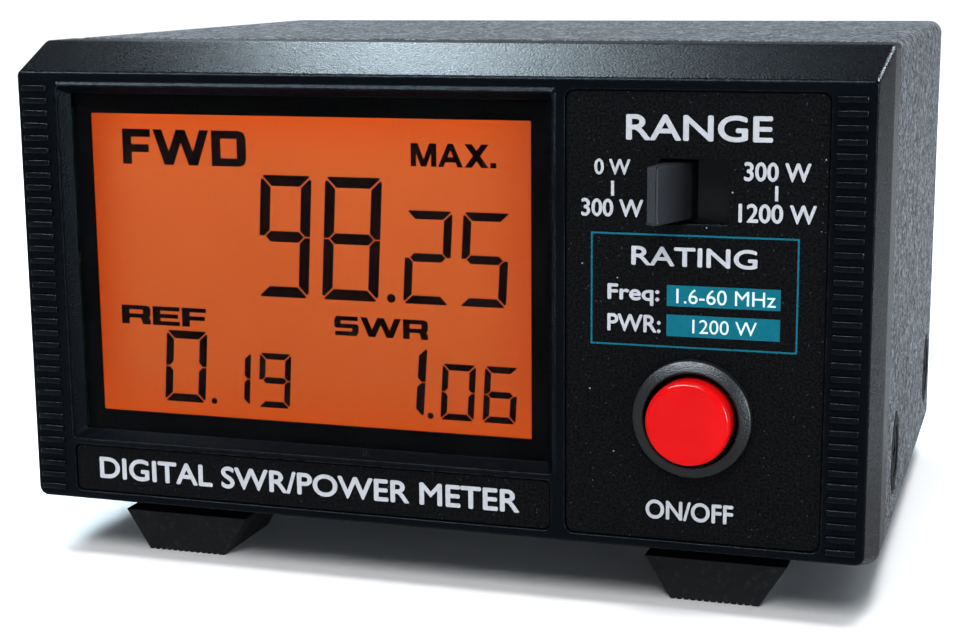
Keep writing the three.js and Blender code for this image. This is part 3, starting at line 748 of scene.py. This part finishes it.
def wide_letter(letter, w, h):
    """Outlines of one bold extended capital of width w and height h, lower left corner at (0, 0)."""
    # s is the width of a stem, b the height of a bar, c the size of a corner and m the middle.
    s = 0.27 * w / WIDE[letter]
    b, c, m = 0.225 * h, 0.2 * h, 0.5 * h
    inside = (w - s) / 2

    def slant(top, bottom, thick=s):
        return [(bottom, 0), (bottom + thick, 0), (top + thick, h), (top, h)]

    stem = bar(0, s, 0, h)
    top = bar(s, w, h - b, h)
    if letter == "F":
        return [stem, top, bar(s, w * 0.94, m - b * 0.7, m + b * 0.3)]
    if letter == "E":
        return [stem, top, bar(s, w * 0.94, m - b / 2, m + b / 2), bar(s, w, 0, b)]
    if letter == "D":
        lower = [(w - s, c * 1.15), (w - c, b), (w - c, 0), (w - c * 0.3, c * 0.3), (w, c)]
        bow = lower + [(x, h - z) for x, z in reversed(lower)]
        return [stem, bar(s, w - c, h - b, h), bar(s, w - c, 0, b), bow]
    if letter == "R":
        waist = 0.33 * h
        bow = [(w - c, waist), (w - c * 0.5, waist), (w, m), (w, h - c), (w - c * 0.3, h - c * 0.3)]
        bow += [(w - c, h), (w - c, h - b), (w - s, h - c * 1.15), (w - s, waist + b), (w - c, waist + b)]
        leg = [(w - s, 0), (w, 0), (w, waist * 0.8), (w - c * 0.6, waist), (w - s * 1.3, waist)]
        return [stem, bar(s, w - c, h - b, h), bar(s, w - c, waist, waist + b), bow, leg]
    if letter == "S":
        upper = [(0, m - b * 0.1), (c * 0.5, m - b / 2), (s, m - b / 2), (s, h - b), (s, h)]
        upper += [(c * 0.6, h), (0, h - c)]
        lower = [(w - x, h - z) for x, z in upper]
        middle = bar(s, w - s, m - b / 2, m + b / 2)
        return [upper, lower, middle, bar(s, w * 0.97, h - b, h), bar(w * 0.03, w - s, 0, b)]
    if letter == "W":
        foot = 0.2 * w
        mirror_foot = w - foot - s
        return [
            slant(0, foot),
            slant(inside, foot),
            slant(inside, mirror_foot),
            slant(w - s, mirror_foot),
        ]
    if letter == "M":
        return [stem, bar(w - s, w, 0, h), slant(s * 0.3, inside), slant(w - s * 1.3, inside)]
    if letter == "A":
        return [slant(inside, 0), slant(inside, w - s), bar(0.25 * w, 0.75 * w, c, c + b)]
    if letter == "X":
        thick = 1.35 * s
        return [slant(0, w - thick, thick), slant(w - thick, 0, thick)]
    return [bar(0, w, 0, b)]


def wide_word(text, x0, x1, z0, z1):
    """Outlines of a word in extended capitals that fills a box."""
    gap = 0.08
    total = sum(WIDE[letter] for letter in text) + gap * (len(text) - 1)
    scale = (x1 - x0) / total
    outlines, x = [], x0
    for letter in text:
        for outline in wide_letter(letter, WIDE[letter] * scale, z1 - z0):
            outlines.append([(x + dx, z0 + dz) for dx, dz in outline])
        x += (WIDE[letter] + gap) * scale
    return outlines


# ---------------------------------------------------------------- the studio
make_camera()
make_world()
sun("front_light", (0.05, -0.66, 0.75), 1.8, 25)
sun("overhead", (0.12, -0.22, 0.95), 1.8, 15)
area_light("strip_behind", (-0.342, 0.670, 0.659), (0.12, 0.6), 48, color=(0.74, 0.9, 1.0))
area_light("strip_above", (-0.3, -0.5, 0.78), (1.0, 0.06), 420, gloss_only=True)
area_light("strip_right", (0.93, -0.36, 0.12), (0.12, 0.4), 220, gloss_only=True)
area_light("strip_corner", (0.44, 0.72, 0.52), (0.12, 0.3), 120, gloss_only=True)

FLOOR = 30.0
floor_paint = Material("studio_floor", (0.95, 0.95, 0.96), 0.6, Specular_IOR_Level=0.2)
floor_tone = floor_paint.remap(floor_paint.noise(3, 2), 0.3, 0.7, 0, 1)
floor_paint.tint(floor_paint.blend(floor_tone, (0.94, 0.94, 0.95), (0.96, 0.96, 0.97)))
floor_paint.rough(floor_paint.remap(floor_paint.noise(200, 2), 0.3, 0.7, 0.5, 0.65))
floor_mesh = bpy.data.meshes.new("floor")
floor_mesh.from_pydata([(x, z, 0) for x, z in bar(-FLOOR, FLOOR, -FLOOR, FLOOR)], [], [[0, 1, 2, 3]])
floor_mesh.materials.append(floor_paint.data)
floor = bpy.data.objects.new("floor", floor_mesh)
bpy.context.scene.collection.objects.link(floor)

# ---------------------------------------------------------------- finishes of the slots
panel_low, panel_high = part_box("display_panel")
LIT_MARGIN = Vector((1.3 * MM, 0, 1.3 * MM))
lit_area = (panel_low + LIT_MARGIN, panel_high - LIT_MARGIN)

# The lever's painted shade grades over 6 mm from its tip: darker towards its base, paler at its tip.
lever_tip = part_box("range_switch_lever")[0].y
lever_base = lever_tip + 6 * MM
# Painted shade: the lever's black at its base, and the paler colour of its tip.
LEVER_BLACK, LEVER_PAINTED_LIT_TIP = (0.002, 0.002, 0.0025), (0.028, 0.03, 0.035)
COOL = (0.76, 0.9, 1.0, 1)
BEZEL_GLOSS = {"satin": (0.022, 0.003), "Specular_Tint": COOL}
RIB_GLOSS = {"Specular_IOR_Level": 0.03, "Specular_Tint": COOL}

finishes = {
    "bezel_plastic": plastic("bezel_plastic", (0.0015, 0.002, 0.003), 0.28, 0.26, 0.06, **BEZEL_GLOSS),
    "overlay_film": film("overlay_film", (0.002, 0.002, 0.0024), 0.5),
    "window_clear": window_plastic("window_clear"),
    "display_amber": lit_display("display_amber", lit_area),
    "diffuser_white": plastic("diffuser_white", (0.8, 0.78, 0.73), 0.4, wear=0.0),
    "circuit_board": circuit_board("circuit_board", (0.02, 0.11, 0.05)),
    "case_paint": wrinkle_paint("case_paint", (0.142, 0.152, 0.165), 0.4),
    "chassis_steel": metal("chassis_steel", (0.55, 0.56, 0.58), 0.35, stretch=(1, 12, 1)),
    "button_red": plastic(
        "button_red", (0.64, 0.004, 0.005), 0.16, 0.8, 0.002, 0.0, Specular_IOR_Level=0.05
    ),
    # Painted shade on the lever, darker towards the slot.
    "lever_plastic": painted_shade_plastic(
        "lever_plastic", LEVER_BLACK, LEVER_PAINTED_LIT_TIP, lever_base, lever_tip, 0.42
    ),
    "black_plastic": plastic(
        "black_plastic", (0.004, 0.0045, 0.005), 0.34, 0.22, 0.04, Specular_IOR_Level=0.15
    ),
    "screw_steel": metal("screw_steel", (0.6, 0.6, 0.62), 0.3),
    "screw_black": plastic(
        "screw_black", (0.003, 0.003, 0.0035), 0.6, 0.3, 0.01, 0.0, Specular_IOR_Level=0.01
    ),
    "foot_rubber": rubber("foot_rubber", (0.0045, 0.0045, 0.0052), 0.6),
    "insulator_white": plastic("insulator_white", (0.72, 0.69, 0.62), 0.4, relief=0.004, wear=0.0),
    "contact_brass": metal("contact_brass", (0.75, 0.52, 0.22), 0.25),
    "plated_metal": metal("plated_metal", (0.48, 0.48, 0.465), 0.26),
    "ferrite_core": plastic("ferrite_core", (0.03, 0.032, 0.036), 0.6, relief=0.03),
    "wire_jacket": rubber("wire_jacket", (0.25, 0.26, 0.28), 0.5),
}

# Finishes of single pieces that differ from their slot's: the ribs, the collar and the window's mask.
rib_plastic = plastic("rib_plastic", (0.002, 0.0025, 0.0035), 0.2, 0.3, 0.015, **RIB_GLOSS)
collar_plastic = plastic(
    "collar_plastic", (0.003, 0.0033, 0.0036), 0.4, 0.22, 0.06, Specular_IOR_Level=0.17
)
mask_plastic = plastic(
    "display_mask", (0.001, 0.001, 0.0012), 0.6, 0.3, 0.01, 0.0, Specular_IOR_Level=0.0
)
prints = {
    "white": ink("print_white", (0.44, 0.45, 0.485)),
    "teal": ink("print_teal", (0.001, 0.12, 0.17), shine=0.05),
    "pale": ink("print_pale", (0.62, 0.80, 0.86)),
    "segment": ink("print_segment", (0.003, 0.001, 0.001), shine=0.0),
}

# Rounding of the edges of the CAD nodes, in mm: of named nodes, of the feet and of all the others.
ROUND = {
    "front_bezel": 0.12,
    "control_overlay": 0.05,
    "name_overlay": 0.05,
    "top_cover": 0.25,
    "chassis": 0.25,
    "range_switch_lever": 0.12,
    "display_frame": 0.08,
    "display_window": 0.05,
    "dc_jack_nut": 0.2,
    "dc_jack_body": 0.15,
    "power_button_nut": 0.2,
    "coupler_can": 0.2,
}
FOOT_ROUND = 0.12
SMALL_ROUND = 0.06
for part in frame["record"]["subparts"]:
    node, slot = part["node"], part["material_slot"]
    usual = FOOT_ROUND if slot == "foot_rubber" else SMALL_ROUND
    dress(node, finishes[slot], ROUND.get(node, usual))
nodes["display_frame"].data.materials[0] = mask_plastic

# ---------------------------------------------------------------- front bezel
# The CAD bezel again, with rounded edges. Rectangles are (x0, x1, z0, z1, lower radius, upper radius)
# in mm, and depths are in mm behind the face.
PRINT_RECESS = 0.7
FACE = (-59, 59, 9, 69.95, 1.25, 0.7)
RIM = (-60, 60, 6.1, 73.85, 1.9, 0.7)
OPENING = (-52.7, 18.2, 18, 68, 0.5, 0.5)
CONTROLS = (19.9, 53.4, 10.1, 68.5, 1.2, 1.2)
NAME_STRIP = (-52.8, 17.9, 10.1, 17, 0.9, 0.9)
SLOT = (32, 41, 51.65, 59.95, 0.5, 0.5)
BUTTON_HOLE = 7.1
PLATE, WALL = 2.6, 2.4
SLOPE_END, BEZEL_END = 9.7, 17
RIB_PROUD, RIB_SUNK = 0.45, 0.1
RIB_COUNT, RIB_PITCH, LOWEST_RIB = 34, 1.733, 10.1
RIB_LEFT_ENDS = (-58.25, 54.05)
COLLAR_PROUD = 1.5

bezel_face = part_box("front_bezel")[0].y + RIB_PROUD * MM
collar_low, collar_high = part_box("power_button_collar")
button_centre = (collar_low + collar_high) / 2
button_centre.y = collar_low.y + COLLAR_PROUD * MM


def bezel_mesh():
    """The moulding: an outside with sloping sides, and openings for the window, slot and button."""
    skin = Skin(bezel_face)

    def rings(sections):
        return [skin.ring([(x, y, z) for x, z in rounded(rect)]) for y, rect in sections]

    def recess(rect):
        """A shallow recess for a printed film, with a rounded lip and foot."""
        lip = bend((0, grow(rect, 0.22)), (0, rect), (0.22, rect))
        lip += bend((PRINT_RECESS - 0.12, rect), (PRINT_RECESS, rect), (PRINT_RECESS, grow(rect, -0.12)))
        return rings(lip)

    slope_start, slope_end = (0, FACE), (SLOPE_END, RIM)
    outside = bend((0, grow(FACE, -0.4)), slope_start, between(slope_start, slope_end, 0.045))
    outside += bend(between(slope_start, slope_end, 0.96), slope_end, (SLOPE_END + 0.4, RIM))
    outside += bend((BEZEL_END - 0.3, RIM), (BEZEL_END, RIM), (BEZEL_END, grow(RIM, -0.3)))
    outside += [
        (BEZEL_END, grow(RIM, -WALL, 1.2)),
        (SLOPE_END, grow(RIM, -WALL, 1.2)),
        (PLATE, grow(FACE, -WALL, 1)),
    ]

    # A raised frame around the window: its outer curve, its crest and its inner curve.
    window = bend((0, grow(OPENING, 0.95)), (0, grow(OPENING, 0.7)), (-0.14, grow(OPENING, 0.5)))
    window += bend(
        (-0.24, grow(OPENING, 0.38)), (-0.35, grow(OPENING, 0.25)), (-0.35, grow(OPENING, 0.15))
    )
    window += bend((-0.35, grow(OPENING, 0.13)), (-0.35, grow(OPENING, 0.03)), (-0.2, grow(OPENING, 0.02)))
    # The sides of the opening lean in to a narrow edge, behind which it is wider.
    window += [(0, OPENING)]
    window += bend(
        (1.6, grow(OPENING, -0.98, 0.35)), (1.8, grow(OPENING, -1.1, 0.3)), (1.8, grow(OPENING, -1, 0.3))
    )
    window += [(1.8, grow(OPENING, 0.2)), (PLATE, grow(OPENING, 0.2))]

    outside, window = rings(outside), rings(window)
    controls, name_strip = recess(CONTROLS), recess(NAME_STRIP)
    slot = rings([(PRINT_RECESS, SLOT), (PLATE, SLOT)])
    circle = dot(button_centre.x / MM, button_centre.z / MM, BUTTON_HOLE, 64)
    hole = [skin.ring([(x, y, z) for x, z in circle]) for y in (PRINT_RECESS, PLATE)]
    for tube in (outside, window, controls, name_strip, slot, hole):
        skin.strip(tube)
    skin.fill(outside[0], window[0], controls[0], name_strip[0])
    skin.fill(controls[-1], slot[0], hole[0])
    skin.fill(name_strip[-1])
    skin.fill(outside[-1], window[-1], slot[-1], hole[-1])
    return skin.mesh("front_bezel_moulding")


def rib_mesh():
    """Grip ribs of both sides: small rounded bars that sink into the face. Their section is (y, z) in
    mm, and towards both ends it shrinks to the shares given beside x."""
    skin = Skin(bezel_face)
    section = [(RIB_SUNK, 0), (-0.33, 0.03), (-0.42, 0.07), (-0.45, 0.15)]
    section += [(-0.45, 0.7), (-0.42, 0.78), (-0.33, 0.82), (RIB_SUNK, 0.85)]
    lengthwise = [(0, 0.45), (0.12, 0.85), (0.3, 1), (3.55, 1), (3.73, 0.85), (3.85, 0.45)]
    for left in RIB_LEFT_ENDS:
        for i in range(RIB_COUNT):
            z = LOWEST_RIB + i * RIB_PITCH
            rings = []
            for x, share in lengthwise:
                points = [(left + x, RIB_SUNK + (y - RIB_SUNK) * share, z + dz) for y, dz in section]
                rings.append(skin.ring(points))
            skin.strip(rings)
            skin.faces += [rings[0], list(reversed(rings[-1]))]
    return skin.mesh("front_bezel_ribs")


bezel_plastic = finishes["bezel_plastic"]
bezel = new_piece(
    "front_bezel_moulding", bezel_mesh(), bezel_plastic, "bezel_plastic", "case", "front_bezel"
)
weigh_normals(bezel)
new_piece("front_bezel_ribs", rib_mesh(), rib_plastic, "bezel_plastic", "case", "front_bezel")

# ---------------------------------------------------------------- power button
# Profiles are (radius, y) in mm, with y measured from the button's centre, which lies COLLAR_PROUD
# behind the collar's rim.
cap_profile = [(0, -3.82), (1.5, -3.81), (3.0, -3.77), (3.9, -3.70)]
cap_profile += arc((4.65, -2.85), 0.85, -105, 0, 12)
cap_profile += [(5.5, 2.6), (5.3, 3.0), (2.6, 3.0), (2.4, 3.2), (2.4, 9.5), (0, 9.5)]
new_piece(
    "power_button_cap_turned",
    lathe("power_button_cap_turned", button_centre, cap_profile),
    finishes["button_red"],
    "button_red",
    "power_button",
    "power_button_cap",
)
collar_profile = [(6.1, 7.0), (6.1, -1.2)]
collar_profile += arc((6.35, -1.24), 0.25, 190, 298, 5)
collar_profile += arc((7.35, -0.6), 0.35, -62, 0)
collar_profile += [(7.7, 0.2), (6.8, 0.2), (6.8, 7.0)]
new_piece(
    "power_button_collar_turned",
    lathe("power_button_collar_turned", button_centre, collar_profile),
    collar_plastic,
    "black_plastic",
    "case",
    "power_button_collar",
)

# ---------------------------------------------------------------- display figures
# Figures and words fill boxes, x0, x1, z0, z1 in mm, here and in the printing below.
glass = panel_low.y
BIG = {"stroke": 1.5, "gap": 0.18, "lean": 0.9}
MEDIUM = {"stroke": 1.16, "gap": 0.15, "lean": 0.7}
SMALL = {"stroke": 0.9, "gap": 0.13, "lean": 0.45}
FIGURES = {
    "forward": [
        ("9", -24.9, -16.5, 39.2, 56.1, BIG),
        ("8", -15.4, -6.3, 39.2, 56.1, BIG),
        ("2", -3.6, 3.6, 39.2, 51.9, MEDIUM),
        ("5", 4.4, 11.6, 39.2, 51.9, MEDIUM),
    ],
    "reflected": [
        ("0", -39.9, -32.9, 23.4, 33.7, MEDIUM),
        ("1", -30.7, -26.3, 23.4, 31.2, SMALL),
        ("9", -25.4, -20.2, 23.4, 31.2, SMALL),
    ],
    "ratio": [
        ("1", -6.5, -0.2, 23.4, 33.4, MEDIUM),
        ("0", 1.5, 6.7, 23.4, 31.2, SMALL),
        ("6", 7.5, 12.6, 23.4, 31.2, SMALL),
    ],
}
# The decimal point of each reading: x and z of its centre, and its radius.
POINTS = {
    "forward": (-5.3, 39.8, 0.62),
    "reflected": (-32.2, 23.8, 0.45),
    "ratio": (0.1, 23.8, 0.45),
}
for reading, figures in FIGURES.items():
    outlines = [dot(*POINTS[reading])]
    for figure, x0, x1, z0, z1, style in figures:
        outlines += digit(figure, x0, x1, z0, z1, **style)
    name = f"display_{reading}_figures"
    new_piece(name, flat_prints(name, outlines, glass), prints["segment"], "display_amber", "case")

for name, text, x0, x1, z0, z1 in [
    ("display_word_forward", "FWD", -44.9, -26.1, 57.1, 62.0),
    ("display_word_peak", "MAX.", -2.2, 9.7, 57.8, 60.9),
    ("display_word_reflected", "REF", -46.2, -33.0, 34.3, 37.0),
    ("display_word_ratio", "SWR", -13.7, -0.1, 34.3, 37.0),
]:
    mesh = flat_prints(name, wide_word(text, x0, x1, z0, z1), glass)
    new_piece(name, mesh, prints["segment"], "display_amber", "case")

# ---------------------------------------------------------------- printing on the overlays
film_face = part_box("control_overlay")[0].y
strip_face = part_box("name_overlay")[0].y
for name, text, x0, x1, z0, z1 in [
    ("print_range", "RANGE", 27.8, 46.3, 62.2, 65.5),
    ("print_low_from", "0 W", 23.7, 28.4, 57.75, 59.8),
    ("print_low_to", "300 W", 22.0, 30.1, 52.4, 54.7),
    ("print_high_from", "300 W", 42.8, 51.1, 57.4, 59.8),
    ("print_high_to", "1200 W", 42.2, 51.9, 52.2, 54.6),
    ("print_rating", "RATING", 28.6, 44.7, 46.3, 48.8),
    ("print_frequency", "Freq:", 25.5, 32.3, 41.1, 43.8),
    ("print_power", "PWR:", 25.5, 32.5, 37.6, 39.9),
    ("print_on_off", "ON/OFF", 30.75, 42.25, 12.9, 15.5),
]:
    mesh = lettering(name, text, x0, x1, z0, z1, film_face)
    new_piece(name, mesh, prints["white"], "overlay_film", "case")
range_bars = [bar(25.9, 26.3, 55.1, 57), bar(46.7, 47.1, 55.0, 56.9)]
mesh = flat_prints("print_range_bars", range_bars, film_face)
new_piece("print_range_bars", mesh, prints["white"], "overlay_film", "case")

# The outlined box of the ratings, and the two filled bars in it that carry the values.
LINE = 0.22
x0, x1, z0, z1 = 23.3, 49.9, 35.8, 50.4
rating_box = [
    bar(x0, x1, z0, z0 + LINE),
    bar(x0, x1, z1 - LINE, z1),
    bar(x0, x0 + LINE, z0 + LINE, z1 - LINE),
    bar(x1 - LINE, x1, z0 + LINE, z1 - LINE),
    bar(33.25, 47.7, 41.2, 43.9),
    bar(33.25, 47.7, 37.3, 40.1),
]
mesh = flat_prints("print_rating_box", rating_box, film_face)
new_piece("print_rating_box", mesh, prints["teal"], "overlay_film", "case")
for name, text, x0, x1, z0, z1 in [
    ("print_frequency_value", "1.6-60 MHz", 34.5, 47.1, 41.6, 43.5),
    ("print_power_value", "1200 W", 36.6, 44.8, 37.8, 39.6),
]:
    mesh = lettering(name, text, x0, x1, z0, z1, film_face - PRINT_THICK, bold=0)
    new_piece(name, mesh, prints["pale"], "overlay_film", "case")
mesh = lettering("print_title", "DIGITAL SWR/POWER METER", -49.1, 13.6, 12.1, 15.3, strip_face, 0.032)
new_piece("print_title", mesh, prints["white"], "overlay_film", "case")

# ---------------------------------------------------------------- rear panel
rear_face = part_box("chassis")[1].y
for name, text, x0, x1, z0, z1 in [
    ("print_transmitter", "TX", -32.4, -27.6, 56.0, 59.0),
    ("print_antenna", "ANT", 6.2, 13.8, 56.0, 59.0),
    ("print_supply", "DC 12 V", 38.0, 50.0, 32.0, 34.6),
]:
    mesh = lettering(name, text, x0, x1, z0, z1, rear_face, facing=1)
    new_piece(name, mesh, prints["white"], "case_paint", "case")

# The coax sockets' thread, in mm: where it starts and ends on the barrel, its pitch, and the radii of
# its roots, its crests and the bore of the sleeve that carries it.
THREAD_START, THREAD_END, THREAD_PITCH = 3.0, 11.2, 1.06
ROOT, CREST, SLEEVE_BORE = 7.97, 8.3, 7.4


def thread_profile():
    """A row of ridges, one for each turn, closed along the bore."""
    profile = [(SLEEVE_BORE, THREAD_END), (SLEEVE_BORE, THREAD_START)]
    for turn in range(int((THREAD_END - THREAD_START) / THREAD_PITCH)):
        y = THREAD_START + turn * THREAD_PITCH
        profile += [(ROOT, y), (ROOT, y + 0.2), (CREST, y + 0.55), (CREST, y + 0.7)]
    return [*profile, (ROOT, THREAD_END)]


for side in ("transmitter", "antenna"):
    low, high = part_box(f"{side}_socket_shell")
    centre = Vector(((low.x + high.x) / 2, low.y, (low.z + high.z) / 2))
    name = f"{side}_socket_thread"
    thread = lathe(name, centre, thread_profile(), sides=64, smooth_angle=20)
    new_piece(name, thread, finishes["plated_metal"], "plated_metal", "case")

bpy.context.scene.view_settings.view_transform = "Standard"
